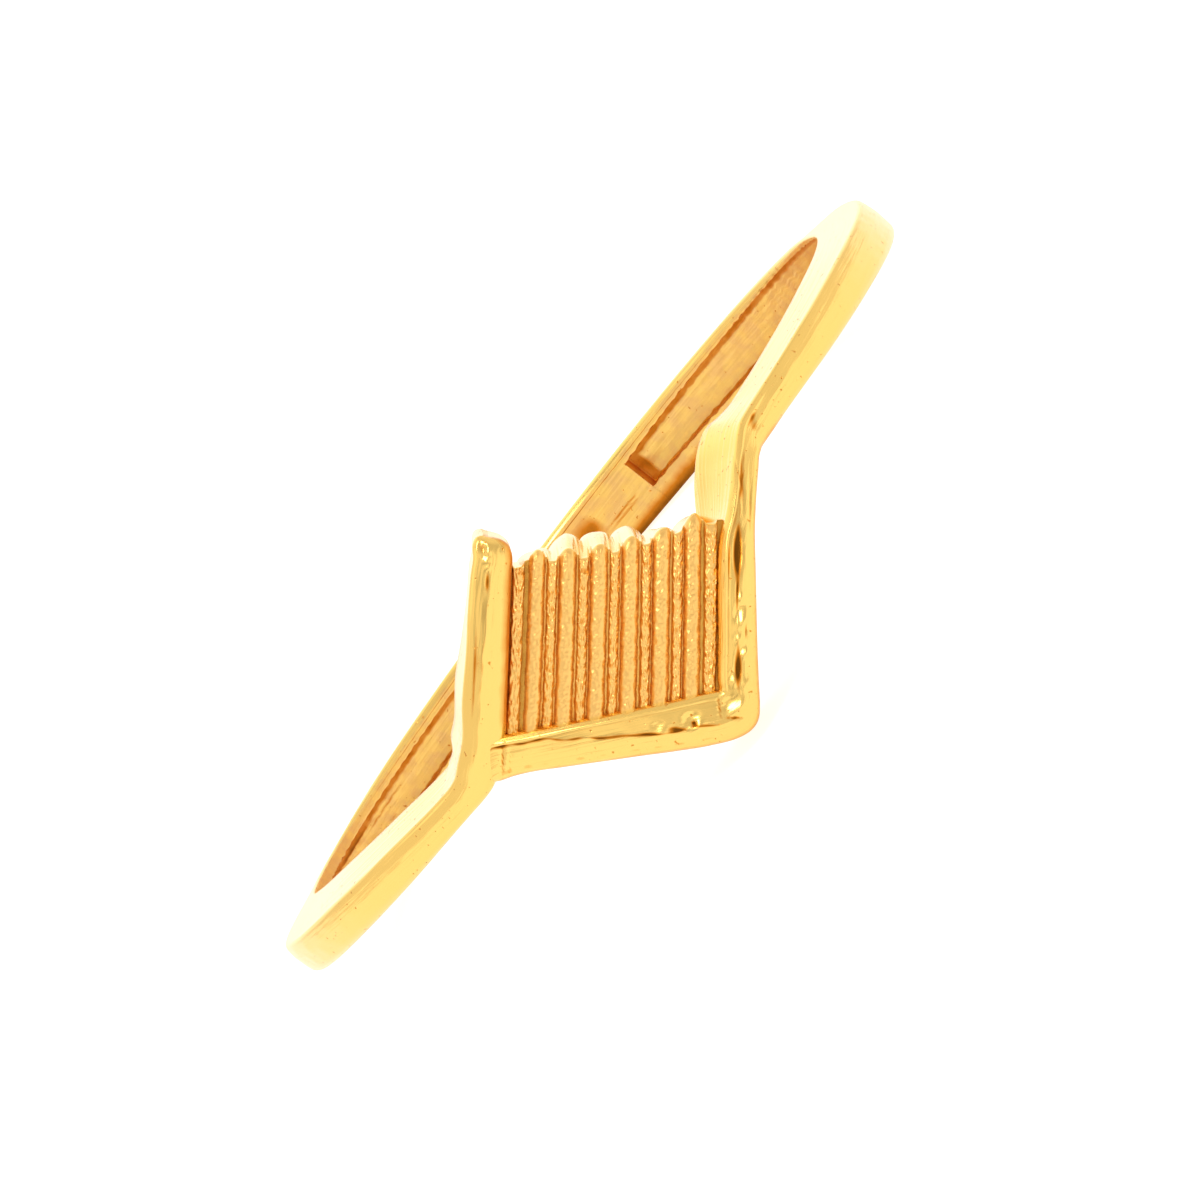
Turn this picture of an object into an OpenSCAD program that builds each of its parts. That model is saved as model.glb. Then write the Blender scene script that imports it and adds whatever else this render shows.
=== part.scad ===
// A narrow gold ring whose two arms turn up and down into the bars of an offset, ribbed head.
// It lies at rest on its side, on the back of its band and the head's lowest corner.
// Millimetres. The ring's own axis is the finger hole's; the head faces -Y.

/* [Finger] */
// Diameter of the finger hole
finger_d = 17.3; // [16.5:0.1:18]

/* [Band] */
// Thickness of the band, from the finger to the crown
band_t = 1.22; // [1:0.02:1.5]
// How far each side face leans in from the finger to the crown
side_lean = 0.24; // [0.1:0.02:0.4]
// How far the rounded lower edge of the crown reaches in
low_round = 0.26; // [0.1:0.02:0.35]

/* [Head] */
// Thickness of the bars, from the finger to their ridges
bar_t = 1.86; // [1.5:0.02:2.2]
// Slope of the left bar, as seen from the front
left_slope = 36.5; // [35:0.5:38]
// Slope of the right bar
right_slope = 37.3; // [36:0.1:38]
// Slope of the foot bar, down to the right
foot_slope = 39; // [38:0.5:40]
// Thickness of the plate under the ribs
plate_t = 1.52; // [1.2:0.02:1.6]
// Height of the head between the foot bar and the ribs' top ends
panel_h = 3.17; // [3:0.01:3.4]

/* [Ribs] */
// Number of wide ribs, with a narrow strip on each side of each
rib_n = 6; // [5:1:7]
// Width of a wide rib
rib_w = 0.41; // [0.35:0.01:0.42]
// Width of a narrow strip between two ribs; the two outermost strips take up the rest
strip_w = 0.225; // [0.2:0.005:0.26]
// Height of a wide rib above its grooves
rib_h = 0.2; // [0.1:0.01:0.24]
// Height of a narrow strip above its grooves
strip_h = 0.1; // [0.05:0.01:0.14]
// How far the round end of a wide rib reaches past the strips
rib_end = 0.15; // [0.1:0.01:0.25]

/* [Channels] */
// Depth of the two channels in the inside of the band
channel_d = 0.38; // [0.2:0.02:0.5]
// Angle between the middle of the back and the end of each channel
channel_gap = 17.5; // [12:0.5:20]
// Angle between the middle of the front and the other end of each channel
channel_stop = 90; // [85:1:110]

/* [Rest] */
// Lean of the lying ring, with the head's end raised
rest_lean = 8.4; // [8:0.1:9]
// Lean of the lying ring to its left
rest_roll = -0.4; // [-2:0.1:2]

/* [Hidden] */

finger_r = finger_d / 2;
band_r = finger_r + band_t;
bar_r = finger_r + bar_t;
plate_r = finger_r + plate_t;
// Inside radius of the bars' and the panel's stock, which the finger hole cuts away
stock_r = finger_r - 0.25;
panel_stock_r = finger_r - 0.6;
// Length of the cutter for the finger hole
bore_l = 14;
// Turn of the cutter, which keeps its seam at the back, between two sections
seam_turn = 87;
// Place of the middle of the hole: left to right, front to back, and its height above the ground
rest_x = 0.049;
rest_y = 0.515;
rest_z = 2.184;
// Width from which a section has the whole crown profile
full_w = 0.7;

// Columns: angle from the front, height of the crown's lower edge, height of its upper edge, swell outwards.
// One row per section of the band, from its left corner round the back to its right corner.
band = [
    [-32, -0.31, 0.38, 0],
    [-45, -0.34, 0.47, 0],
    [-60, -0.38, 0.52, 0.02],
    [-75, -0.44, 0.49, 0.07],
    [-90, -0.51, 0.42, 0.10],
    [-115, -0.54, 0.36, 0.06],
    [-140, -0.64, 0.42, 0],
    [-180, -0.80, 0.50, 0],
    [-205, -0.86, 0.56, 0],
    [-225, -0.77, 0.60, 0],
    [-245, -0.57, 0.64, 0],
    [-257, -0.49, 0.66, 0],
    [-270, -0.46, 0.63, 0],
    [-285, -0.42, 0.59, 0],
    [-300, -0.38, 0.55, 0],
    [-315, -0.35, 0.47, 0],
    [-328, -0.31, 0.40, 0],
];

// The head in the front view: each bar has its own slope, with distances along it and offsets across it
// that are measured from the ring's axis.
// Offset of each edge of the ribbed panel
left_edge = 2.21;
right_edge = -1.90;
foot_edge = -1.96;
top_edge = foot_edge + panel_h;

// Columns: distance along the bar, offset of its lower edge, offset of its upper edge, fall below the ridge,
// lean of its upper wall from the finger to the crown
left_bar = [
    [1.42, 2.55, 2.62, 0.32, 0.02],
    [1.38, 2.42, 2.75, 0.17, 0.02],
    [1.27, 2.29, 2.90, 0.07, 0.03],
    [1.05, left_edge, 3.00, 0.02, 0.08],
    [0.60, left_edge, 3.04, 0, 0.16],
    [-0.10, left_edge, 3.05, 0, 0.27],
    [-1.00, left_edge, 3.05, 0, 0.38],
    [-2.00, left_edge, 3.04, 0, 0.47],
    [-2.80, 2.25, 3.04, 0, 0.50],
];
right_bar = [
    [3.10, -2.79, -2.24, 0, 0.40],
    [2.80, -2.75, -2.19, 0, 0.37],
    [2.40, -2.70, -2.14, 0, 0.31],
    [1.90, -2.66, -2.06, 0, 0.20],
    [1.50, -2.65, -1.95, 0, 0.10],
    [0.60, -2.66, right_edge, 0, 0.10],
    [-0.60, -2.68, right_edge, 0, 0.10],
    [-1.40, -2.71, right_edge, 0, 0.10],
];
foot_bar = [
    [-1.10, -2.89, foot_edge, 0, 0],
    [-0.40, -2.82, foot_edge, 0, 0],
    [0.40, -2.78, foot_edge, 0, 0],
    [1.80, -2.74, foot_edge, 0, 0],
    [2.50, -2.78, foot_edge, 0.03, 0],
    [2.90, -2.85, foot_edge, 0.06, 0],
    [3.14, -2.91, foot_edge, 0.09, 0],
];
// Columns: front view x and z of the crown's lower edge, x and z of its upper edge, lean of the upper wall
left_turn = [
    [-4.17, -0.17, -4.50, 0.58, 0.42],
    [-4.50, -0.29, -4.80, 0.42, 0.32],
    [-4.86, -0.31, -5.06, 0.38, 0.26],
];
right_turn = [
    [4.74, -0.31, 4.72, 0.38, 0.28],
    [4.36, -0.31, 4.42, 0.36, 0.36],
];
lower_turn = [
    [0.10, -3.36, -0.06, -2.46, 0],
    [-0.06, -3.46, -0.08, -2.46, 0],
    [-0.25, -3.48, -0.10, -2.45, 0],
    [-0.46, -3.42, -0.12, -2.43, 0],
];
// Columns: front view x, fall of the head's face below the bars' ridges
head_fall = [
    [-5.00, 0.62],
    [-4.50, 0.54],
    [-4.00, 0.41],
    [-3.40, 0.27],
    [-2.50, 0.10],
    [-1.50, 0.00],
    [2.20, 0.00],
    [2.80, 0.06],
    [3.40, 0.20],
    [3.90, 0.38],
    [4.30, 0.52],
    [4.90, 0.62],
];

// Columns: share of the way across the crown from the lower edge, distance past that, depth below the crown
crown = [
    [0, 0, low_round * 1.3],
    [0, low_round * 0.23, low_round * 0.6],
    [0, low_round * 0.65, low_round * 0.2],
    [0.45, 0, 0],
    [1, -0.10, 0.015],
    [1, -0.02, 0.05],
    [1, 0, 0.09],
];
// Columns: share of the way across a wide rib, share of its height, share of its reach past the strips
rib_shape = [[0, 0, 0], [0.18, 0.7, 0.77], [0.5, 1, 1], [0.82, 0.7, 0.77]];
strip_shape = [[0, 0, 0], [0.3, 1, 0], [0.7, 1, 0]];
// Columns: share of the way across the panel, rise of the line of the ribs' top ends, and how far
// the ends reach on up from the ribs to the finger
top_line = [
    [0, 0.12, 0],
    [0.14, 0.17, -0.12],
    [0.29, 0.06, 0.19],
    [0.43, 0, 0.14],
    [0.57, 0.01, 0.11],
    [0.71, 0.02, -0.10],
    [0.86, 0.16, -0.14],
    [1, 0.04, -0.05],
];
// Columns: share of the way up the panel, fall of the ribs, share of the top ends' reach to the finger
panel_rows = [
    [-0.04, 0, 0],
    [0.2, 0, 0],
    [0.4, 0, 0],
    [0.6, 0, 0],
    [0.8, 0, 0],
    [0.96, 0.01, 0],
    [1, 0.05, 1],
];

// Height of each channel's middle, its width, and how far it climbs to the right in degrees
right_channel = [-0.10, 0.86, 2];
left_channel = [-0.04, 0.80, 0.5];

// Point at an angle and height, out at radius r
function out(a, z, r) = [r * sin(a), -r * cos(a), z];
// Point q, unrolled from the cylinder of radius r, put at radius at_r
function place(q, r, at_r) = out(q[0] / r * 180 / PI, q[1], at_r);
// Front view point p unrolled from the cylinder of radius r
function unrolled(p, r) = [asin(p[0] / r) * PI / 180 * r, p[1]];
// Point at distance d past p, on the line from q
function past(p, q, d) = p + (p - q) / norm(p - q) * d;

// Front view point at distance s along a slope and offset n across it
function on_slope(slope, s, n) = [s * cos(slope) - n * sin(slope), s * sin(slope) + n * cos(slope)];
// The foot bar runs up to the left, with its offset still measured upwards
function on_foot(s, n) = [-s * cos(foot_slope) + n * sin(foot_slope), s * sin(foot_slope) + n * cos(foot_slope)];
// Where the edge at offset n of a bar meets the line at offset m of the foot bar
function corner(slope, n, m) =
    let(turn = slope + foot_slope, s = (m - n * cos(turn)) / sin(turn))
    on_slope(slope, s, n);
function fall(x) = lookup(x, head_fall);
// A table's first column and column k, for lookup
function columns(rows, k) = [for (row = rows) [row[0], row[k]]];

// One section, as a loop: the finger side's lower point, the crown, the finger side's upper point.
// a and b are the crown's lower and upper edge, unrolled from the cylinder of radius r.
function section(a, b, r, lean_low, lean_high) =
    let(w = norm(b - a), fit = min(1, w / full_w))
    concat(
        [place(past(a, b, lean_low), r, stock_r)],
        [for (row = crown) place(a + (b - a) * (row[0] + row[1] * fit / w), r, r - row[2] * fit)],
        [place(past(b, a, lean_high), r, stock_r)]
    );
function band_section(row) =
    let(arc = row[0] * PI / 180 * band_r)
    section([arc, row[1]], [arc, row[2]], band_r + row[3], side_lean / 4, side_lean);
function head_section(a, b, below, lean) =
    let(r = bar_r - below - fall((a[0] + b[0]) / 2))
    section(unrolled(a, r), unrolled(b, r), r, 0, lean);
function bar_section(row, slope) =
    head_section(on_slope(slope, row[0], row[1]), on_slope(slope, row[0], row[2]), row[3], row[4]);
function foot_section(row) = head_section(on_foot(row[0], row[1]), on_foot(row[0], row[2]), row[3], row[4]);
function turn_section(row) = head_section([row[0], row[1]], [row[2], row[3]], 0, row[4]);

// A table with n - 1 rows put between each two
function refined(rows, n) =
    [for (i = [0:len(rows) - 1], k = [0:(i < len(rows) - 1 ? n - 1 : 0)])
        k == 0 ? rows[i] : rows[i] + (rows[i + 1] - rows[i]) * k / n];

// Closed solid through a list of loops that all have the same number of points.
// Each end is a strip between the loop's first half and its second half.
module loft(loops) {
    n = len(loops[0]);
    last = len(loops) - 1;
    sides = [
        for (i = [0:last - 1], j = [0:n - 1])
            let(a = i * n + j, b = i * n + (j + 1) % n)
            each [[a, b + n, b], [a, a + n, b + n]]
    ];
    caps = [
        for (j = [0:ceil(n / 2) - 2])
            let(k = n - 1 - j, quad = k - 1 > j + 1)
            each concat(
                [[j, j + 1, k], [last * n + k, last * n + j + 1, last * n + j]],
                quad ? [[j + 1, k - 1, k], [last * n + k, last * n + k - 1, last * n + j + 1]] : []
            )
    ];
    polyhedron(points = [for (l = loops) each l], faces = concat(sides, caps), convexity = 8);
}

band_steps = refined(band, 4);
back = search(-180, band_steps)[0];

// The left bar, its corner and the left arm, as far as the middle of the back
module left_half() {
    loft(concat(
        [for (row = left_bar) bar_section(row, left_slope)],
        [for (row = left_turn) turn_section(row)],
        [for (i = [0:back]) band_section(band_steps[i])]
    ));
}

// From the middle of the back: the right arm, its corner, the right bar and the foot bar
module right_half() {
    loft(concat(
        [for (i = [back:len(band_steps) - 1]) band_section(band_steps[i])],
        [for (row = right_turn) turn_section(row)],
        [for (row = right_bar) bar_section(row, right_slope)],
        [for (row = lower_turn) turn_section(row)],
        [for (row = foot_bar) foot_section(row)]
    ));
}

// Corners of the panel, which runs on a little way into the bars
tuck = 0.12;
panel = [
    corner(left_slope, left_edge + tuck, foot_edge),
    corner(right_slope, right_edge - tuck, foot_edge),
    corner(left_slope, left_edge + tuck, top_edge),
    corner(right_slope, right_edge - tuck, top_edge),
];
panel_w = norm(panel[1] - panel[0]);
end_w = (panel_w - 2 * tuck - rib_n * rib_w - (rib_n - 1) * strip_w) / 2;
// Columns: distance across the panel, height above the grooves, reach past the strips
rib_line = concat(
    [[0, strip_h, 0]],
    [for (i = [0:rib_n])
        let(
            w = i == 0 || i == rib_n ? end_w : strip_w,
            x = tuck + end_w + i * (strip_w + rib_w) - (i == 0 ? end_w : strip_w)
        )
        each concat(
            [for (p = strip_shape) [x + p[0] * w, p[1] * strip_h, 0]],
            i < rib_n ? [for (p = rib_shape) [x + w + p[0] * rib_w, p[1] * rib_h, p[2] * rib_end]] : []
        )],
    [[panel_w, strip_h, 0]]
);
function panel_point(x, g, reach) =
    let(
        f = x / panel_w,
        low = panel[0] + (panel[1] - panel[0]) * f,
        high = panel[2] + (panel[3] - panel[2]) * f,
        end = g == 1 ? (reach + lookup(f, columns(top_line, 1))) / panel_h : 0
    )
    low + (high - low) * (g + end);
// The panel's ends run straight through it, as seen from the front, apart from their reach
function panel_loop(row) = concat(
    [for (i = [len(rib_line) - 1:-1:0])
        let(
            x = rib_line[i][0],
            on = row[2] * lookup(x / panel_w, columns(top_line, 2)),
            q = panel_point(x, row[0], rib_line[i][2] + on)
        )
        place(unrolled(q, panel_stock_r), panel_stock_r, panel_stock_r)],
    [for (p = rib_line)
        let(q = panel_point(p[0], row[0], p[2]), r = plate_r + p[1] - row[1] - fall(q[0]))
        place(unrolled(q, r), r, r)]
);

module rib_panel() {
    loft([for (row = panel_rows) panel_loop(row)]);
}

// One channel in the inside of the band, from angle a to angle b, with its middle at height z
module channel(a, b, z, h, tilt) {
    translate([0, 0, z])
    rotate([0, -tilt, 0])
    rotate([0, 0, a - 90])
    rotate_extrude(angle = b - a, $fn = 96)
    translate([stock_r, -h / 2]) square([finger_r + channel_d - stock_r, h]);
}

module ring() {
    color("gold")
    translate([rest_x, rest_y, rest_z])
    rotate([-rest_lean, rest_roll, 0])
    difference() {
        union() {
            left_half();
            right_half();
            rib_panel();
        }
        rotate([0, 0, seam_turn]) cylinder(r = finger_r, h = bore_l, center = true, $fn = 96);
        channel(channel_stop, 180 - channel_gap, right_channel[0], right_channel[1], right_channel[2]);
        channel(180 + channel_gap, 360 - channel_stop, left_channel[0], left_channel[1], left_channel[2]);
    }
}

ring();
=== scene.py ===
import math

import bpy
import numpy as np
from mathutils import Matrix


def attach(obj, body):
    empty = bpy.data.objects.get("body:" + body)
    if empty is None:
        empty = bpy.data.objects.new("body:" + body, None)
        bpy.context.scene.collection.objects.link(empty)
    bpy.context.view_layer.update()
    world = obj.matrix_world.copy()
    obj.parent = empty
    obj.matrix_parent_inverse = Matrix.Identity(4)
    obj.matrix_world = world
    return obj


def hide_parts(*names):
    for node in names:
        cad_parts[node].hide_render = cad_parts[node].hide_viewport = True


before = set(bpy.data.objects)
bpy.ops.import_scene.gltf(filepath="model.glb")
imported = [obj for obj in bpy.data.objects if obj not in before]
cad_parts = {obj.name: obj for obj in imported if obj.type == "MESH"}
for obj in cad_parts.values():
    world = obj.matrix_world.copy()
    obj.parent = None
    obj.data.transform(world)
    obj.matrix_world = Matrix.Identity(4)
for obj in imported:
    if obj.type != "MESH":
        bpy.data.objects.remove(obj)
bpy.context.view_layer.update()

mm = 0.001

# How the ring lies: millimetres and degrees, the same as in the CAD model
rest = {
    "middle": (0.049, 0.515, 2.184),  # middle of the finger hole
    "lean": 8.4,
    "roll": -0.4,
}
restTurn = np.array(Matrix.Rotation(math.radians(rest["roll"]), 3, "Y")
                    @ Matrix.Rotation(math.radians(-rest["lean"]), 3, "X"))


def laid(points):
    # The ring's own millimetres to the lying ring's metres: turned, then moved
    return (points @ restTurn.T + np.array(rest["middle"])) * mm


def linked(name, data):
    # An object of a mesh or a camera, in the scene
    made = bpy.data.objects.new(name, data)
    bpy.context.scene.collection.objects.link(made)
    return made


def putMesh(name, points, faces, uv, marks):
    # One mesh object at the origin from whole arrays of corners, faces, UV pairs and corner values
    mesh = bpy.data.meshes.new(name)
    mesh.from_pydata(laid(points).tolist(), [], faces)
    mesh.update()
    corners = np.zeros(len(mesh.loops), dtype=np.int32)
    mesh.loops.foreach_get("vertex_index", corners)
    layer = mesh.uv_layers.new(name="run")
    layer.data.foreach_set("uv", uv[corners].astype(np.float32).ravel())
    for key, values in marks.items():
        made = mesh.attributes.new(key, "FLOAT", "POINT")
        made.data.foreach_set("value", values.astype(np.float32))
    mesh.polygons.foreach_set("use_smooth", np.ones(len(mesh.polygons), dtype=bool))
    return linked(name, mesh)


def tubeFaces(rows, cols, flip):
    # Quads between each two rows of a grid whose columns close into a loop, then the two end loops,
    # each closed by quads between its halves and by a triangle where its number of points is odd
    a = np.arange(rows - 1)[:, None] * cols + np.arange(cols)
    b = np.arange(rows - 1)[:, None] * cols + (np.arange(cols) + 1) % cols
    sides = np.stack([a, b, b + cols, a + cols], axis=-1).reshape(-1, 4).tolist()
    near = np.arange(cols // 2)
    far = cols - 1 - near
    cap = np.stack([near[:-1], near[1:], far[1:], far[:-1]], axis=-1).tolist()
    if cols % 2:
        cap.append([cols // 2 - 1, cols // 2, cols // 2 + 1])
    last = (rows - 1) * cols
    faces = sides + [quad[::-1] for quad in cap] + [[last + k for k in quad] for quad in cap]
    return [face[::-1] for face in faces] if flip else faces


def throughRows(knots, rows, at):
    # Monotone cubic through a table's rows: each inner slope is the harmonic mean of the two next to it,
    # or level where they disagree, so the curve never runs past a row
    step = np.diff(knots)[:, None]
    rise = np.diff(rows, axis=0) / step
    agree = rise[:-1] * rise[1:] > 0
    one, two = 2 * step[1:] + step[:-1], step[1:] + 2 * step[:-1]
    low, high = np.where(agree, rise[:-1], 1), np.where(agree, rise[1:], 1)
    inner = np.where(agree, (one + two) / (one / low + two / high), 0)
    slope = np.vstack([rise[:1], inner, rise[-1:]])
    k = np.clip(np.searchsorted(knots, at, side="right") - 1, 0, len(knots) - 2)
    h = step[k]
    x = ((at - knots[k]) / h[:, 0])[:, None]
    return (rows[k] * (1 + 2 * x) * (1 - x) ** 2 + slope[k] * h * x * (1 - x) ** 2
            + rows[k + 1] * x ** 2 * (3 - 2 * x) + slope[k + 1] * h * x ** 2 * (x - 1))


def eased(x):
    # 0 below 0, 1 above 1, and level at both
    x = np.clip(x, 0, 1)
    return x * x * (3 - 2 * x)


def inSpan(turn, span):
    # 1 between two angles and 0 outside them, eased over some degrees at each:
    # a span is where it starts, degrees of its start, where it ends, degrees of its end
    start, startSoft, end, endSoft = span
    return eased((start - turn) / startSoft) * eased((turn - end) / endSoft)


def ripple(seed, length, *places):
    # Uneven values, mostly between -1 and 1, whose bumps are about one length apart:
    # ten sine waves with directions, lengths and starts drawn at random
    draw = np.random.default_rng(seed)
    total = 0
    for _ in range(10):
        turn = draw.normal(size=len(places))
        turn = turn / np.linalg.norm(turn) * draw.uniform(0.6, 1.6) * 2 * math.pi / length
        phase = sum(t * p for t, p in zip(turn, places))
        total = total + np.sin(phase + draw.uniform(0, 2 * math.pi))
    return total / 4


# The bent bar: millimetres. Its bars are given in the front view, along and across their own slope.
bar = {
    "fingerR": 8.65,
    "bandThick": 1.22,
    "barThick": 1.86,
    "leftSlope": 36.5,
    "rightSlope": 37.3,
    "footSlope": 39.0,
    "footEndFall": 0.09,  # fall of the foot's last section under the left bar's face
    "highRound": 0.11,  # reach of the crown's rounded upper edge
    "innerRound": 0.06,  # softened edges of the finger side
    "rearRound": 0.17,  # the upper one at the back
    "lowLean": 0.05,  # lean of the band's lower wall
    "bandLook": (0.20, 0.60, 0.05, 0.06),  # lean of its upper wall, share of the ridge, both falls
    "crease": 0.018,  # half width of the crease between two facets
    "headStep": 0.040,  # distance between two sections on the head
    "bandStep": 0.10,  # the same on the band
    "dentFrom": 0.5,  # height off the finger side from which dents act
    "lipIn": 0.12,  # distance of the lip from the upper edge, and its half width
    "lipHalf": 0.032,
    "wave": 0.0032,  # height of the uneven hand finish, and how far it fades in from the edges
    "waveFade": 0.15,
    "bow": 0.5,  # share of a facet's fall that grows with the square of the distance
    "ridgeWander": 0.025,  # how far the ridge wanders, as a share of the crown
    "sliver": 0.004,  # share of the wall in the sliver where the loop closes
    "fullWide": 0.7,  # on a narrower crown the roundings and falls shrink with it
    "bandSpan": (-30, 10, -330, 10),  # angles of the band, and of its back, where the rims are worn rounder and darkened with painted shade
    "rearSpan": (-110, 40, -262, 30),
    # points of each stretch of a section
    "points": {
        "quarter": 9, "lowFacet": 10, "highFacet": 12, "wall": 6, "lowBend": 4, "upBend": 8, "floor": 18,
    },
}
# The left bar's end, half a squared oval: where it begins, its half width, how square it is, its middle
# across and how far that shifts towards the end, reach of its lower and upper edge, and its face's fall
tip = {
    "turns": (88, 80, 70, 58, 44, 30, 16),
    "from": 1.00,
    "half": 0.40,
    "square": 0.6,
    "middle": 2.60,
    "askew": 0.12,
    "lowReach": 0.36,
    "highReach": 0.39,
    "fall": 0.30,
    "look": (0.02, 0.57, 0.08, 0.12),  # lean of the upper wall, share of the ridge, both falls
}
# Angle from the front, height of the crown's lower edge, of its upper edge, swell outwards
bandRows = np.array([
    [-32, -0.31, 0.38, 0], [-45, -0.34, 0.47, 0], [-60, -0.38, 0.52, 0.02],
    [-75, -0.44, 0.49, 0.07], [-90, -0.51, 0.42, 0.10], [-115, -0.54, 0.36, 0.06],
    [-140, -0.64, 0.42, 0], [-180, -0.80, 0.50, 0], [-205, -0.86, 0.56, 0],
    [-225, -0.77, 0.60, 0], [-245, -0.57, 0.64, 0], [-257, -0.49, 0.66, 0],
    [-270, -0.46, 0.63, 0], [-285, -0.42, 0.59, 0], [-300, -0.38, 0.55, 0],
    [-315, -0.35, 0.47, 0], [-328, -0.31, 0.40, 0],
])
# Along the bar, across to its lower edge, across to its upper edge, lean of the upper wall,
# share of the ridge from the lower edge, fall of the lower facet, fall of the upper facet
leftRows = np.array([
    [1.00, 2.19, 2.97, 0.03, 0.58, 0.08, 0.10],
    [0.60, 2.20, 3.01, 0.08, 0.56, 0.09, 0.11],
    [-0.10, 2.21, 3.05, 0.13, 0.53, 0.09, 0.13],
    [-1.00, 2.21, 3.07, 0.25, 0.57, 0.09, 0.15],
    [-2.00, 2.21, 3.12, 0.37, 0.555, 0.08, 0.16],
    [-2.80, 2.22, 3.09, 0.42, 0.575, 0.06, 0.15],
])
rightRows = np.array([
    [3.10, -2.79, -2.24, 0.40, 0.60, 0.04, 0.05],
    [2.80, -2.75, -2.19, 0.37, 0.62, 0.05, 0.06],
    [2.40, -2.70, -2.14, 0.31, 0.64, 0.06, 0.08],
    [1.90, -2.66, -2.06, 0.20, 0.60, 0.07, 0.10],
    [1.50, -2.65, -1.95, 0.10, 0.56, 0.08, 0.12],
    [0.60, -2.66, -1.90, 0.08, 0.54, 0.08, 0.13],
    [-0.60, -2.68, -1.90, 0.06, 0.54, 0.08, 0.13],
    [-1.40, -2.71, -1.90, 0.04, 0.54, 0.08, 0.12],
])
footRows = np.array([
    [-1.10, -3.01, -1.96, 0, 0.415, 0.10, 0.12],
    [-0.40, -2.98, -1.96, 0, 0.425, 0.11, 0.14],
    [0.40, -2.93, -1.96, 0, 0.49, 0.13, 0.13],
    [1.80, -2.87, -1.96, 0, 0.72, 0.16, 0.08],
    [2.50, -2.85, -1.96, 0.02, 0.80, 0.17, 0.06],
    [2.90, -2.88, -1.96, 0.04, 0.81, 0.17, 0.06],
    [3.10, -2.92, -1.96, 0.05, 0.80, 0.17, 0.06],
])
# The foot's last section, which turns into the left bar below its face
footEndRows = np.array([[3.34, -2.92, -2.10, 0.05, 0.80, 0.16, 0.06]])
# Front view x and z of the crown's lower edge, of its upper edge, then the same last four
leftTurnRows = np.array([
    [-4.17, -0.17, -4.50, 0.58, 0.42, 0.60, 0.06, 0.09],
    [-4.50, -0.29, -4.80, 0.42, 0.32, 0.58, 0.05, 0.08],
    [-4.86, -0.31, -5.06, 0.38, 0.26, 0.56, 0.05, 0.07],
])
rightTurnRows = np.array([
    [4.74, -0.31, 4.72, 0.38, 0.28, 0.55, 0.05, 0.05],
    [4.36, -0.31, 4.42, 0.36, 0.36, 0.57, 0.04, 0.05],
])
lowerTurnRows = np.array([
    [0.10, -3.36, -0.06, -2.46, 0, 0.50, 0.08, 0.12],
    [-0.06, -3.46, -0.08, -2.46, 0, 0.46, 0.08, 0.12],
    [-0.25, -3.48, -0.10, -2.45, 0, 0.42, 0.08, 0.12],
    [-0.46, -3.42, -0.12, -2.43, 0, 0.38, 0.08, 0.12],
])
# Of each part: reach of its rounded lower edge, height of the lip inside its upper edge, and how
# dark the crease between its facets is painted, as painted shade
edges = {
    "tip": (0.13, 0, 0.3), "left": (0.13, 0, 0.45), "leftTurn": (0.17, 0, 0.3),
    "band": (0.20, 0, 0.1), "rightTurn": (0.17, 0.022, 0.3), "right": (0.15, 0.026, 0.5),
    "lowerTurn": (0.16, 0.015, 0.3), "foot": (0.16, 0.022, 1.4), "footEnd": (0.16, 0, 0.2),
}
# Front view x, fall of the head's face below its ridges
headFall = np.array([
    [-5.00, 0.62], [-4.50, 0.54], [-4.00, 0.41], [-3.40, 0.27], [-2.50, 0.10], [-1.50, 0.00],
    [2.20, 0.00], [2.80, 0.06], [3.40, 0.20], [3.90, 0.38], [4.30, 0.52], [4.90, 0.62],
])
# Angle round the back, middle of the channels, their width
channelRows = np.array([
    [-285, 0.22, 1.00], [-270, 0.225, 1.03], [-244, 0.15, 1.05], [-228, 0.085, 1.00], [-216, 0.05, 0.95],
    [-204, 0.025, 0.87], [-197, 0.00, 0.80], [-164, -0.06, 0.80], [-90, -0.12, 0.80], [-75, -0.05, 0.7],
])
channel = {
    "depth": 0.38,
    "ends": ((-270, -197.5), (-162.5, -90)),
    "endSoft": 0.3,  # degrees over which an end wall stands
    "span": (-72, 8, -288, 8),
    "rim": 0.07,  # least width of the rims
    "edge": 0.02,  # size of the steps that round a channel's edges and corners
    "rimPoints": (0.10, 0.24, 0.38, 0.6),  # shares across the upper rim
    "wallPoints": (2, 1, 0, -0.3, -1),  # steps from a channel's edge
    "wander": 0.012,  # how far its edges wander
    "hollow": 0.02,  # how far its floor is hollowed, and the height of the floor's unevenness
    "uneven": 0.006,
    "highShadeReach": 0.19,  # how far the darkening, painted shade with residue, reaches from the upper corner, the lower one and the ends
    "lowShadeReach": 0.07,
    "endShadeReach": 0.32,
    "shadeMost": 0.98,
}
# Painted shade outside the channels, as dark lines and bands by the lip, the ribs, the lower edges, the
# crease and the rims: strengths, and half widths where they fade
paintedShade = {
    "lip": 0.6,  # above the lip, at the lip's full height
    "lipFull": 0.026,
    "byRibs": 0.88,  # along the left bar's edge beside the ribs, from this angle on
    "byRibsWide": 0.17,
    "byRibsFrom": (-22, 3),
    "byFoot": 0.78,  # along the right bar's and the foot's lower edge
    "byFootWide": 0.09,
    "byFootFrom": (-326, 6),
    "seam": (0.6, 1, 0.6),  # across the crease between the facets, then its even and uneven part
    "seamEven": 0.8,
    "seamUneven": 0.35,
    "lowLine": 0.55,  # the fine line by the lower edge, where the crease is darker than this
    "lowLineFrom": 0.6,
    "lowerRim": 1.5,  # the rims at the back
    "upperRim": 1.3,
}
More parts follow.
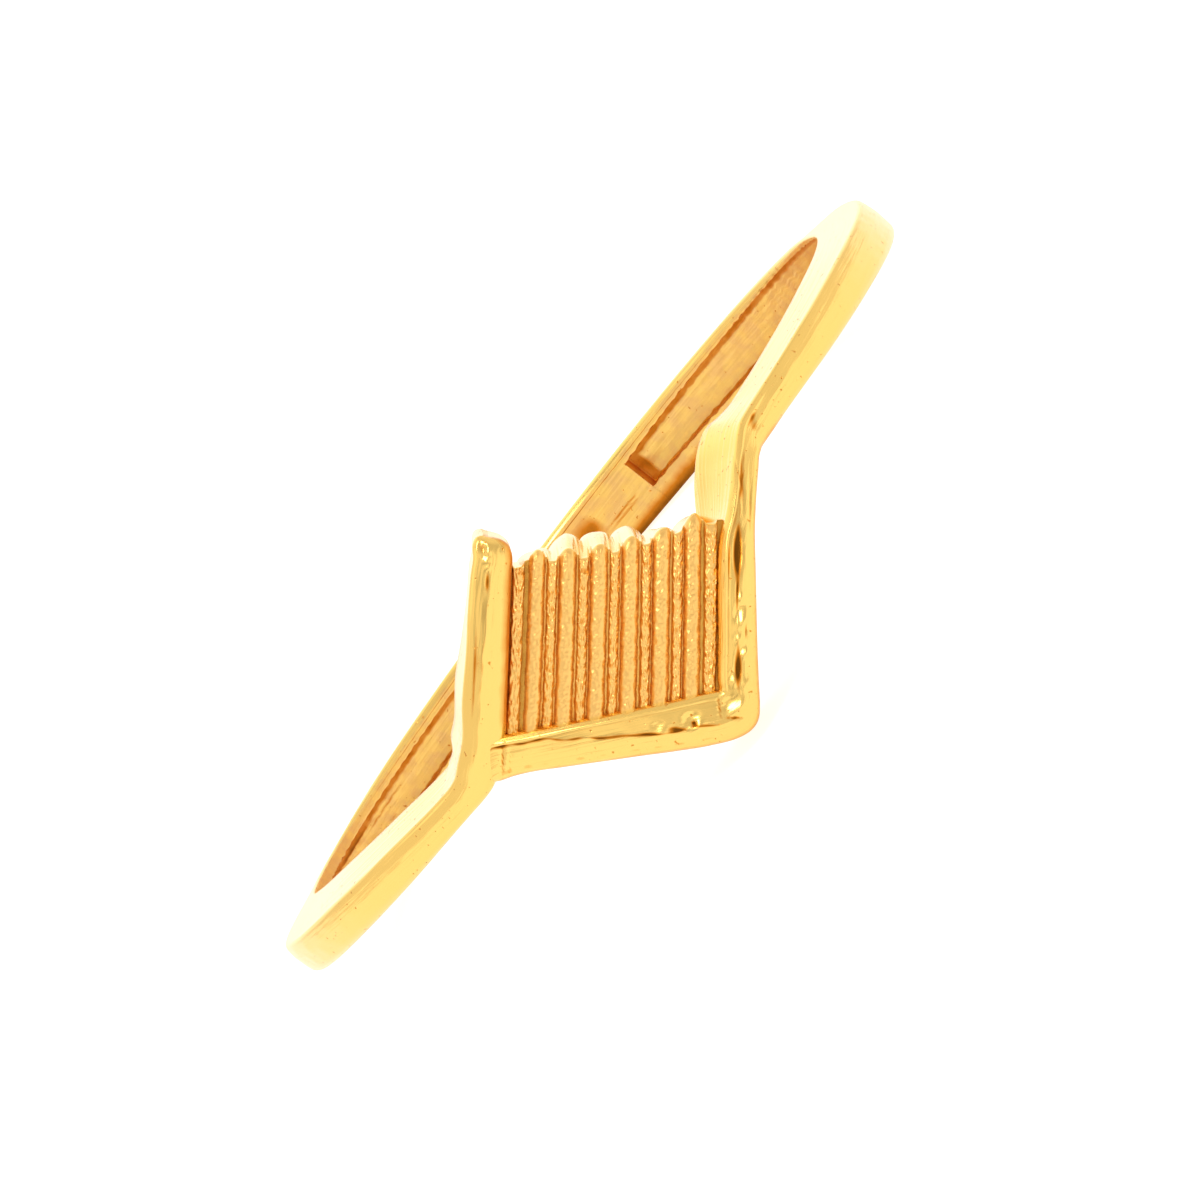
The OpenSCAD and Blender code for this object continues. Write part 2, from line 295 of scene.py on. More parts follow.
# Residue on the finger side, and one painted orange reflection of the ribs: angle, height, half length in
# degrees, half width, strength
residueAndReflection = np.array([
    [-185.9, 0.05, 2.6, 0.34, 1.20],
    [-192.2, -0.215, 3.4, 0.034, 1.15],
    [-191.8, -0.31, 3.2, 0.032, 1.10],
    [-201.0, -0.02, 2.2, 0.20, 0.50],
    # a painted reflection of the ribs' orange on the bare place
    [-172.0, 0.10, 3.0, 0.25, 0.60],
    [-133.0, 0.06, 6.0, 0.030, 0.95],  # streaks on the left channel's floor
    [-122.0, 0.15, 6.5, 0.028, 0.90],
    [-131.0, -0.21, 5.0, 0.026, 0.85],
    [-112.0, 0.02, 7.0, 0.030, 0.80],
])
# Hollows and bumps left by the hand: front view x and z, half length, half width,
# turn of its length, depth inwards (a bump is below 0), and how dark it is painted: painted shade, mostly
# the dark reflection in a fold or hollow
dents = np.array([
    [2.29, -1.09, 0.44, 0.078, 36, 0.080, 2.8],  # dark fold along the right bar
    [1.66, -1.56, 0.26, 0.030, 36, 0.025, 1.2],
    [3.35, -0.42, 0.55, 0.035, 38, 0.016, 0.8],
    [3.20, -0.72, 0.62, 0.024, 36, 0.012, 0.8],  # second fold, nearer the outside
    [3.66, -0.02, 0.50, 0.024, 52, 0.012, 0.7],
    [1.16, -2.16, 0.17, 0.022, 37, 0.018, 1.3],
    [0.50, -2.48, 0.30, 0.066, 38, 0.070, 2.4],  # dark fold by the corner
    [2.05, -1.05, 0.34, 0.020, 37, 0.010, 0.9],
    [1.62, -1.70, 0.08, 0.06, 30, -0.030, 0],  # beads beside the folds
    [0.96, -2.14, 0.12, 0.08, 30, -0.025, 0],
    [0.36, -2.80, 0.08, 0.07, 0, -0.035, 0],
    [-0.32, -3.02, 0.20, 0.026, -52, 0.024, 1.5],
    [-0.33, -2.66, 0.20, 0.026, 44, 0.022, 1.3],
    [-0.89, -2.47, 0.05, 0.05, 0, 0.070, 2.2],  # hollow in the bead on the foot
    [-1.20, -2.25, 0.14, 0.045, -52, 0.025, 1.8],
    [-1.64, -1.86, 0.16, 0.035, -48, 0.020, 1.6],
    [-2.10, -1.36, 0.34, 0.022, -44, 0.012, 0.9],
    [-0.74, 2.92, 0.14, 0.075, 60, 0.050, 0.8],  # dimple in the left bar's end
    [-1.20, 2.44, 0.18, 0.030, 36, 0.022, 1.5],
    [4.47, 0.08, 0.13, 0.10, 60, 0.020, 0.8],  # blemish on the right shoulder
    [4.60, 0.20, 0.09, 0.05, 20, 0.012, 0.8],
    [-2.88, 1.42, 1.00, 0.026, 36.5, 0.010, 1.0],  # fine line of painted shade and a wedge of painted dark reflection on the left bar
    [-2.50, 1.62, 0.90, 0.100, 36.5, 0, 0.42],
    [-3.81, -0.06, 0.30, 0.024, 39.0, 0.026, 1.5],  # joint between foot and left bar
    [-3.765, -0.118, 0.26, 0.036, 39.0, -0.028, 0],  # the bead beside it and a fine line
    [-3.725, -0.172, 0.24, 0.018, 39.0, 0.010, 0.9],
])
# Small flats struck by the hand, which catch the lamp: front view x and z, half length, half width,
# turn of the length, slope upwards, slope to the right
flats = np.array([
    [1.345, -1.90, 0.21, 0.13, 38, 0.62, 0],
    [0.82, -2.36, 0.11, 0.10, 38, 0.60, 0],
    [0.30, -2.53, 0.15, 0.10, 38, 0.42, 0],
    [-0.13, -2.87, 0.25, 0.16, -27, 0.46, 0],
    [-0.89, -2.47, 0.20, 0.20, 0, 0.48, 0],
    [-1.38, -2.01, 0.14, 0.12, -52, 0.40, 0],
    [0.95, -2.11, 0.11, 0.08, 38, 0.40, 0],
    [-0.72, 2.83, 0.08, 0.08, 36, 0.42, 0.12],
    [-0.86, 2.75, 0.09, 0.08, 36, 0.42, 0.12],
    [-0.95, 2.64, 0.08, 0.07, 36, 0.42, 0.12],
])


def onSlope(slope, along, across, side=1):
    # A bar's own distances to the front view: turned up to the right by its slope, or up to the left
    # where its side is -1, with its offset still measured upwards
    s = math.radians(slope)
    return (side * (along * math.cos(s) - across * math.sin(s)),
            along * math.sin(s) + across * math.cos(s))


def headRows(xa, za, xb, zb, fall, look, lap):
    # Front view edges to rows of angle and height of both edges, radius, low lean and the looks;
    # the angle is where that x lies on the cylinder of the crown's radius: arcsin(x / r)
    middle = (xa + xb) / 2
    r = bar["fingerR"] + bar["barThick"] - fall - np.interp(middle, headFall[:, 0], headFall[:, 1])
    turnA, turnB = np.degrees(np.arcsin(xa / r)) + lap, np.degrees(np.arcsin(xb / r)) + lap
    return np.column_stack([turnA, za, turnB, zb, r, 0 * r, look])


def withEdges(look, part):
    # Rows of looks with the part's edge values as three more columns
    return np.column_stack([look, np.tile(edges[part], (len(look), 1))])


def barRows(rows, part, slope, lap, side=1, fall=0):
    # A straight bar's rows, given along and across its slope
    xa, za = onSlope(slope, rows[:, 0], rows[:, 1], side)
    xb, zb = onSlope(slope, rows[:, 0], rows[:, 2], side)
    return headRows(xa, za, xb, zb, fall, withEdges(rows[:, 3:], part), lap)


def turnRows(rows, part, lap):
    # A corner's rows, given in the front view
    return headRows(*rows[:, :4].T, 0, withEdges(rows[:, 4:], part), lap)


def tipRows():
    # Half a squared oval in the front view, a little askew, whose face falls as it narrows:
    # its half width is half * cos(turn)^square, and its reach grows with sin(turn)
    turn = np.radians(tip["turns"])
    side = np.cos(turn)
    wide = tip["half"] * side ** tip["square"]
    middle = tip["middle"] + tip["askew"] * (1 - side)
    xa, za = onSlope(bar["leftSlope"], tip["from"] + tip["lowReach"] * np.sin(turn), middle - wide)
    xb, zb = onSlope(bar["leftSlope"], tip["from"] + tip["highReach"] * np.sin(turn), middle + wide)
    lean, ridge, lowFall, highFall = tip["look"]
    look = np.column_stack([lean * side, ridge + 0 * turn, lowFall * side, highFall * side])
    return headRows(xa, za, xb, zb, tip["fall"] * (1 - side), withEdges(look, "tip"), 0)


def allRows():
    # Every section's row in order: tip, left bar, left corner, band, right corner, right bar, foot
    r = bar["fingerR"] + bar["bandThick"] + bandRows[:, 3]
    look = np.full((len(r), 4), bar["bandLook"])
    band = np.column_stack([
        bandRows[:, 0], bandRows[:, 1], bandRows[:, 0], bandRows[:, 2], r, np.full(len(r), bar["lowLean"]),
        withEdges(look, "band"),
    ])
    return np.vstack([
        tipRows(),
        barRows(leftRows, "left", bar["leftSlope"], 0),
        turnRows(leftTurnRows, "leftTurn", 0),
        band,
        turnRows(rightTurnRows, "rightTurn", -360),
        barRows(rightRows, "right", bar["rightSlope"], -360),
        turnRows(lowerTurnRows, "lowerTurn", -360),
        barRows(footRows, "foot", bar["footSlope"], -360, -1),
        barRows(footEndRows, "footEnd", bar["footSlope"], -360, -1, bar["footEndFall"]),
    ])


def onRing(turn, z, radius):
    # Angle from the front, height and radius to a place: x = r sin a, y = -r cos a
    a = np.radians(turn)
    return np.stack([radius * np.sin(a), -radius * np.cos(a), z + 0 * radius], axis=-1)


def pathPlaces(rows):
    # Distance along the bar at each row, between the middles of the crowns
    middle = onRing((rows[:, 0] + rows[:, 2]) / 2, (rows[:, 1] + rows[:, 3]) / 2, rows[:, 4])
    return np.concatenate([[0], np.cumsum(np.linalg.norm(np.diff(middle, axis=0), axis=1))])


def stations(knots, rows):
    # Section places: close together on the head, wider apart on the band, and extra at the channels'
    # ends. The number of sections up to a place is the sum of 1 / step.
    little = 0.01
    fine = np.arange(0, knots[-1], little)
    turn = np.interp(fine, knots, (rows[:, 0] + rows[:, 2]) / 2)
    step = bar["headStep"] + (bar["bandStep"] - bar["headStep"]) * inSpan(turn, bar["bandSpan"])
    count = np.concatenate([[0], np.cumsum(little / step[:-1])])
    places = np.interp(np.arange(int(count[-1]) + 1), count, fine)
    around = np.array([-1.5, -0.5, 0.5, 1.5])[:, None] * channel["endSoft"]
    ends = np.array(channel["ends"]).ravel() + around
    extra = np.interp(-ends.ravel(), -turn, fine)
    return np.unique(np.round(np.concatenate([places, extra, [knots[-1]]]), 4))


def softened(rows, passes):
    # Each column averaged with its neighbours, over and over, with the ends held
    for _ in range(passes):
        rows[1:-1] = rows[1:-1] * 0.5 + (rows[:-2] + rows[2:]) * 0.25
    return rows


def crownDepth(w, wide, fit, ridge, lowFall, highFall, lowRound, lip):
    # Depth below the crown at distance w across it: two slightly bowed facets that meet at the ridge,
    # a quarter oval at each edge, and a low lip inside the upper one
    top = ridge * wide
    low = np.clip(top - w, 0, None) / top
    high = np.clip(w - top, 0, None) / (wide - top)
    bow = bar["bow"]
    depth = lowFall * ((1 - bow) * low + bow * low ** 2)
    depth = depth + highFall * ((1 - bow) * high + bow * high ** 2)
    for away, reach in ((w, lowRound * fit), (wide - w, bar["highRound"] * fit)):
        into = np.clip(1 - away / reach, 0, 1)
        depth = depth + reach * (1 - np.sqrt(1 - into ** 2))
    return depth - lip * np.exp(-((wide - w - bar["lipIn"]) / bar["lipHalf"]) ** 2)


def inShape(x, z, dx, dz, long, wide, turn):
    # Distances from a shape's middle along it and across it, as shares of its half length and half width
    s = math.radians(turn)
    return (((x - dx) * math.cos(s) + (z - dz) * math.sin(s)) / long,
            ((z - dz) * math.cos(s) - (x - dx) * math.sin(s)) / wide)


def dentDepth(points):
    # Sum of the dents at the front view's x and z: each is a round hill exp(-a^2 - b^2) of the distances
    # along and across it. A flat is a tilted plane inside a level-topped hill, exp(-(a^2 + b^2)^2).
    x, z = points[..., 0], points[..., 2]
    front = points[..., 1] < 0
    depth, dentShade = 0 * x, 0 * x
    for *shape, deep, dark in dents:
        along, across = inShape(x, z, *shape)
        hill = np.exp(-along ** 2 - across ** 2) * front
        # each dent's dark value is painted shade, the dark reflection in its fold or hollow
        depth, dentShade = depth + deep * hill, dentShade + dark * hill
    for *shape, slope, sideways in flats:
        along, across = inShape(x, z, *shape)
        plateau = np.exp(-(along ** 2 + across ** 2) ** 2) * front
        right, up = x - shape[0], z - shape[1]
        level = right * shape[0] / (bar["fingerR"] + bar["barThick"])  # the crown's own turn, taken out
        depth = depth + plateau * (slope * up + sideways * right - level)
    return depth, dentShade


def crownAcross(places, wide, fit, r, ridge, lowFall, highFall, lowRound, lip):
    # Distances across the crown and their radii: quarter oval, facet, crease, facet, quarter oval,
    # with a slow wave on the facets
    count = bar["points"]
    quarter = 1 - np.cos(np.radians(np.linspace(0, 90, count["quarter"])))
    low = lowRound * fit * quarter
    high = wide - bar["highRound"] * fit * quarter[::-1]
    top, crease = ridge * wide, bar["crease"] * fit
    share = np.linspace(0, 1, count["lowFacet"] + 1)[1:]
    lowFacet = low[:, -1:] + (top - crease - low[:, -1:]) * share
    share = 1 - (1 - np.linspace(0, 1, count["highFacet"] + 1)[:-1]) ** 1.4  # closer by the lip
    highFacet = top + crease + (high[:, :1] - top - crease) * share
    w = np.hstack([low, lowFacet, top, highFacet, high])
    radius = r - crownDepth(w, wide, fit, ridge, lowFall, highFall, lowRound, lip)
    onFacets = np.clip(np.minimum(w, wide - w) / bar["waveFade"], 0, 1)
    return w, radius + bar["wave"] * onFacets * ripple(5, 0.7, places[:, None] + 0 * w, w)


def channelHere(places, turn, za, lowW, highW, soft, highSoft):
    # The channel at each section, as columns: across to its lower and upper edge, the share of its depth
    # that is there, and the distance to its nearer end. Off the band its edges are a fifth from each side.
    middle = np.interp(turn, channelRows[:, 0], channelRows[:, 1])[:, None] - za[:, None]
    half = np.interp(turn, channelRows[:, 0], channelRows[:, 2])[:, None] / 2
    onBand = inSpan(turn, channel["span"])[:, None]
    uneven = channel["wander"] * ripple(7, 0.5, places)[:, None]
    fifth = 0.2 * (highW - lowW)
    low = onBand * np.maximum(middle - half + uneven, lowW + channel["rim"]) + (1 - onBand) * (lowW + fifth)
    high = (onBand * np.minimum(middle + half + uneven, highW - channel["rim"] - highSoft + soft)
            + (1 - onBand) * (highW - fifth))
    cut, fromEnd = 0 * turn, 0 * turn
    for begin, end in channel["ends"]:
        rising = eased((turn - begin) / channel["endSoft"] + 0.5)
        cut = cut + rising * eased((end - turn) / channel["endSoft"] + 0.5)
        nearer = np.radians(np.minimum(turn - begin, end - turn)) * bar["fingerR"]
        fromEnd = np.where((turn > begin) & (turn < end), nearer, fromEnd)
    return low, high, cut[:, None], fromEnd[:, None]


def fingerSide(places, lowW, highW, soft, highSoft, channelNow):
    # The finger side from the upper edge back to the lower one, as distances across and radii:
    # quarter circle, rim, wall, floor hollowed as a half sine, wall, quarter circle
    f, edge, count = bar["fingerR"], channel["edge"], bar["points"]
    edgeLow, edgeHigh, cut, _ = channelNow
    deep = channel["depth"] * cut
    bend = np.radians(np.linspace(0, 90, count["lowBend"]))
    wideBend = np.radians(np.linspace(0, 90, count["upBend"]))
    upBendW = highW - highSoft * (1 - np.cos(wideBend))
    rimShare = np.array(channel["rimPoints"])
    rimW = upBendW[:, -1:] + (edgeHigh + 2 * edge - upBendW[:, -1:]) * rimShare
    steps = np.array(channel["wallPoints"]) * edge
    none = 0 * edgeLow
    wallR = f + np.hstack([none, none, 0.15 * edge * cut, deep - edge * cut, deep - 0.2 * edge * cut])
    floorShare = (1 - np.cos(np.linspace(0, math.pi, count["floor"] + 2)))[1:-1] / 2
    floorW = edgeHigh - 2 * edge + (edgeLow - edgeHigh + 4 * edge) * floorShare
    uneven = channel["uneven"] * ripple(9, 0.35, places[:, None] + 0 * floorW, floorW)
    return {
        "upBend": (upBendW, f + highSoft * (1 - np.sin(wideBend))),
        "rim": (rimW, f + 0 * rimW),
        "side": (edgeHigh + steps, wallR),
        "floor": (floorW, f + deep + cut * (channel["hollow"] * np.sin(np.pi * floorShare) + uneven)),
        "back": (edgeLow - steps[::-1], wallR[:, ::-1]),
        "lowBend": ((lowW + soft * (1 - np.cos(bend)))[:, ::-1], (f + soft * (1 - np.sin(bend)))[:, ::-1]),
    }


def channelShadeAndResidue(w, channelNow):
    # Darkening falls evenly from each corner and end of a channel, as painted shade in its corners and at
    # its ends together with residue, and the strongest one counts
    edgeLow, edgeHigh, cut, fromEnd = channelNow
    marks = [(edgeHigh - w, channel["highShadeReach"]), (w - edgeLow, channel["lowShadeReach"]),
             (fromEnd, channel["endShadeReach"])]
    reached = [3 - 3 * np.abs(away) / reach for away, reach in marks]
    strongest = np.maximum(np.maximum(reached[0], reached[1]), reached[2])
    return np.clip(strongest, 0, channel["shadeMost"]) * cut


def crownPaintedShade(w, turn, wide, lip):
    # Painted shade above the lip, beside the ribs and along the lower edge: bands exp(-(distance / half
    # width)^2)
    byLip = (wide - w - bar["lipIn"] - 1.9 * bar["lipHalf"]) / bar["lipHalf"]
    start, soft = paintedShade["byRibsFrom"]
    byRibs = eased((turn - start) / soft)[:, None]
    start, soft = paintedShade["byFootFrom"]
    byFoot = eased((start - turn) / soft)[:, None]
    return (lip / paintedShade["lipFull"] * paintedShade["lip"] * np.exp(-byLip ** 2),
            paintedShade["byRibs"] * byRibs * np.exp(-(w / paintedShade["byRibsWide"]) ** 2)
            + paintedShade["byFoot"] * byFoot * np.exp(-(w / paintedShade["byFootWide"]) ** 2))


def barSections(rows, places):
    # Each section as a loop of distances across the crown and radii. Upwards along the lower wall,
    # over the crown, down the upper wall and back along the finger side.
    turnA, za, turnB, zb, r, lowLean, highLean, ridge, lowFall, highFall, lowRound, lip, seam = rows.T
    f = bar["fingerR"]
    arcA, arcB = np.radians(turnA) * r, np.radians(turnB) * r
    turn = (turnA + turnB) / 2
    across = np.hypot(arcB - arcA, zb - za)
    narrow = np.minimum(1, across / bar["fullWide"])
    ridge = ridge + bar["ridgeWander"] * ripple(3, 0.9, places)
    wide, fit, far, ridge, lowFall, highFall, lowRound, lip, lowLean, highLean = (
        v[:, None] for v in (across, narrow, r, ridge, lowFall * narrow, highFall * narrow,
                             lowRound, lip * narrow, lowLean, highLean))
    rear = inSpan(turn, bar["rearSpan"])
    soft = bar["innerRound"] * fit
    highSoft = soft + (bar["rearRound"] - bar["innerRound"]) * rear[:, None]
    crownW, crownR = crownAcross(places, wide, fit, far, ridge, lowFall, highFall, lowRound, lip)

    # walls: straight from the softened finger edge to the crown; the loop's seam is a sliver
    share = np.linspace(0, 1, bar["points"]["wall"] + 1)[:-1]
    lowR, highR = crownR[:, :1], crownR[:, -1:]
    lowerR = f + soft + (lowR - (f + soft)) * np.maximum(share, bar["sliver"])
    upperR = f + highSoft + (highR - f - highSoft) * share[:0:-1]
    lowW, highW = -lowLean, wide + highLean
    channelNow = channelHere(places, turn, za, lowW, highW, soft, highSoft)
    parts = {
        "lower": (-lowLean * (1 - (lowerR - f) / (lowR - f)), lowerR),
        "crown": (crownW, crownR),
        "upper": (wide + highLean * (1 - (upperR - f) / (highR - f)), upperR),
        **fingerSide(places, lowW, highW, soft, highSoft, channelNow),
    }
    w, radius = map(np.hstack, zip(*parts.values()))
    begin = dict(zip(parts, np.cumsum([0] + [part[0].shape[1] for part in parts.values()])))

    # on to the ring: along the line from one crown edge to the other, unrolled from the crown's cylinder
    around = np.degrees((arcA[:, None] + ((arcB - arcA) / across)[:, None] * w) / far)
    height = za[:, None] + ((zb - za) / across)[:, None] * w
    depth, dentShade = dentDepth(onRing(around, height, radius))
    below = f + bar["dentFrom"]
    outer = np.clip((radius - below) / (far - below), 0, 1) ** 2
    points = onRing(around, height, radius - depth * outer)

    # painted shade and residue: the dents' painted dark reflections, the channels' painted shade with
    # residue, the residue marks with one painted reflection, and painted shade in the crease, on the crown
    # and on the rims at the back
    recess = dentShade * outer
    inside = slice(begin["side"] + 2, begin["back"] + 3)
    recess[:, inside] = channelShadeAndResidue(w[:, inside], channelNow)
    finger = slice(begin["rim"] - 1, None)
    for angle, level, long, wideness, dark in residueAndReflection:
        hill = np.exp(-((turn[:, None] - angle) / long) ** 4 - ((height - level) / wideness) ** 2)
        recess[:, finger] += dark * hill[:, finger]
    # painted shade along the crease between the facets, and a fine painted dark line by the lower edge
    # where the crease is darkest
    lowLine = begin["crown"] + bar["points"]["quarter"]
    creaseAt = lowLine + bar["points"]["lowFacet"]
    seamHere = (seam * (paintedShade["seamEven"] + paintedShade["seamUneven"] * ripple(15, 0.6, places)))[:, None]
    recess[:, creaseAt - 1:creaseAt + 2] += seamHere * np.array(paintedShade["seam"])
    more = np.clip(seamHere - paintedShade["lowLineFrom"], 0, 1)
    recess[:, lowLine - 1:lowLine + 1] += paintedShade["lowLine"] * more
    for band in crownPaintedShade(crownW, turn, wide, lip):
        recess[:, begin["crown"]:begin["upper"]] += band
    # painted shade on the lower and upper rims at the back
    recess[:, begin["lowBend"]:] += paintedShade["lowerRim"] * rear[:, None]
    recess[:, begin["rim"] + 1] += paintedShade["upperRim"] * rear
    inner = np.zeros(w.shape)
    inner[:, begin["rim"] - 2:] = 1

    # the UV map: distance along the bar, and round it from the crown's upper edge, where streaks follow it
    run = np.cumsum(np.linalg.norm(np.diff(points, axis=1, prepend=points[:, :1]), axis=2), axis=1)
    run = run - run[:, begin["upper"] - 1:begin["upper"]]
    uv = np.stack([places[:, None] + 0 * run, run], axis=-1)
    return points, recess, inner, uv


def makeBar():
    # The sections along the bar's path, joined into one closed tube
    rows = allRows()
    knots = pathPlaces(rows)
    places = stations(knots, rows)
    rows = softened(throughRows(knots, rows, places), 4)
    points, recess, inner, uv = barSections(rows, places)
    count, around = recess.shape
    faces = tubeFaces(count, around, False)
    piece = putMesh("bent_bar", points.reshape(-1, 3), faces, uv.reshape(-1, 2),
                    {"recess": recess.ravel(), "inner": inner.ravel()})
    print("bent bar:", count, "sections of", around, "points")
    return piece


# The ribbed panel, in millimetres
panel = {
    "edges": (2.21, -1.90, -1.96, 3.17),  # offsets of the left, right and foot edges, then the height
    "tuck": 0.12,
    "plate": 1.52,  # thickness under the ribs
    "ribs": 6,
    "ribWide": 0.395,
    "stripWide": 0.245,
    "ribHigh": 0.20,
    "stripHigh": 0.11,
    "ribEnd": 0.15,  # reach of the ribs' round ends past the strips
    "stripEnd": 0.08,  # how far the strips fall short
    "scallop": 0.17,  # height of the scallops on the finger side
    # width of each groove from left to right: worn wider beside the bars and at the first rib
    "grooves": (0.09, 0.08, 0.035, 0.03, 0.04, 0.025, 0.04, 0.03, 0.04, 0.025, 0.04, 0.025, 0.06, 0.08),
    "wander": 0.008,  # how far the grooves wander
    "uneven": 0.009,  # height of the rough finish on ribs and strips, and the length of its bumps
    "unevenLong": 0.14,
    "beads": 0.015,  # the same of the strips' beads
    "beadsLong": 0.085,
    "topSoft": 0.03,  # rounding of the top edge, and how much more of it where a rib stands higher
    "topSofter": 0.75,
    "clear": 0.01,  # how far the finger side stands off the bore
    "darkWide": 0.06,  # width of a groove whose painted shade is 1, and the least and the most painted shade
    "darkRange": (0.6, 1.25),
    "darkHigh": 0.06,  # height over a groove, and rise over the foot bar, where the painted shade ends
    "darkRise": 0.09,
    "darkFoot": 0.8,
    "across": 400,  # columns of the grid
    "up": 140,  # rows of the ribs' faces
    # powers p and q of the humps: ribs, strips, the ribs' round ends
    "ribShape": (3.6, 0.75),
    "stripShape": (4, 0.7),
    "endShape": (2, 0.75),
    "topRows": 8,  # rows of the top edge, the end wall and the finger side
    "wallRows": 11,
    "backRows": 11,
}
# Share across the panel, rise of the line of the ribs' top ends, reach of the ends up towards the finger
topLine = np.array([
    [0, 0.12, 0], [0.14, 0.17, -0.12], [0.29, 0.06, 0.19], [0.43, 0, 0.14],
    [0.57, 0.01, 0.11], [0.71, 0.02, -0.10], [0.86, 0.16, -0.14], [1, 0.04, -0.05],
])


def meet(slope, n, m):
    # Where the edge at offset n of a bar meets the line at offset m of the foot bar
    turn = math.radians(slope + bar["footSlope"])
    along = (m - n * math.cos(turn)) / math.sin(turn)
    return np.array(onSlope(slope, along, n))


def ribLine(x, panelWide):
    # At distance x across the panel: height above the grooves, reach of the face's end, reach of the
    # finger side's end, and how dark the nearest groove is. Between each two grooves stands one hump,
    # (1 - |t|^p)^q with t from -1 to 1, strips and ribs by turns. The scallops are arches
    # (1 - t^2)^0.6 from the middle of one strip to the middle of the next.
    wide, strip, ribs = panel["ribWide"], panel["stripWide"], panel["ribs"]
    end = (panelWide - 2 * panel["tuck"] - ribs * wide - (ribs - 1) * strip) / 2
    steps = [end] + [wide, strip] * (ribs - 1) + [wide, end]
    grooves = panel["tuck"] + np.concatenate([[0], np.cumsum(steps)])
    half = np.array(panel["grooves"]) / 2
    k = np.clip(np.searchsorted(grooves, x, side="right") - 1, 0, len(steps) - 1)
    begin, stop = grooves[k] + half[k], grooves[k + 1] - half[k + 1]
    t = np.clip(np.abs((2 * x - begin - stop) / (stop - begin)), 0, 1)
    rib = k % 2 == 1
    ribHump, stripHump, endHump = ((1 - t ** p) ** q for p, q in (
        panel["ribShape"], panel["stripShape"], panel["endShape"]))
    high = np.where(rib, panel["ribHigh"] * ribHump, panel["stripHigh"] * stripHump)
    reach = np.where(rib, panel["ribEnd"] * endHump, -panel["stripEnd"] * (1 - t ** 4))
    middles = (grooves[1:-1:2] + grooves[2::2]) / 2
    away = np.abs(x[..., None] - middles).min(axis=-1) / ((wide + strip) / 2)
    scallop = panel["scallop"] * np.clip(1 - away ** 2, 0, 1) ** 0.6
    # the grooves' painted shade: a wider groove is painted darker
    dark = np.clip(np.array(panel["grooves"]) / panel["darkWide"], *panel["darkRange"])
    dark = np.interp(x, grooves, dark)
    return high, reach, scallop, dark


def panelCorners():
    # In the front view, tucked under the bars: lower left, lower right, upper left, upper right
    left, right, foot, tall = panel["edges"]
    sides = ((bar["leftSlope"], left + panel["tuck"]), (bar["rightSlope"], right - panel["tuck"]))
    return [meet(slope, n, m) for m in (foot, foot + tall) for slope, n in sides]


def ribFaces(x, z, panelWide):
    # Heights over the face and how dark its grooves are, with wandering grooves, beaded strips
    # and a rough finish that fades out in the grooves
    high, _, _, dark = ribLine(x + panel["wander"] * ripple(11, 0.40, x, z), panelWide)
    rough = panel["uneven"] * ripple(13, panel["unevenLong"], x, z)
    rough = rough + panel["beads"] * ripple(17, panel["beadsLong"], x, z) * (high < panel["stripHigh"])
    return high + rough * np.clip(high / 0.08, 0, 1), dark


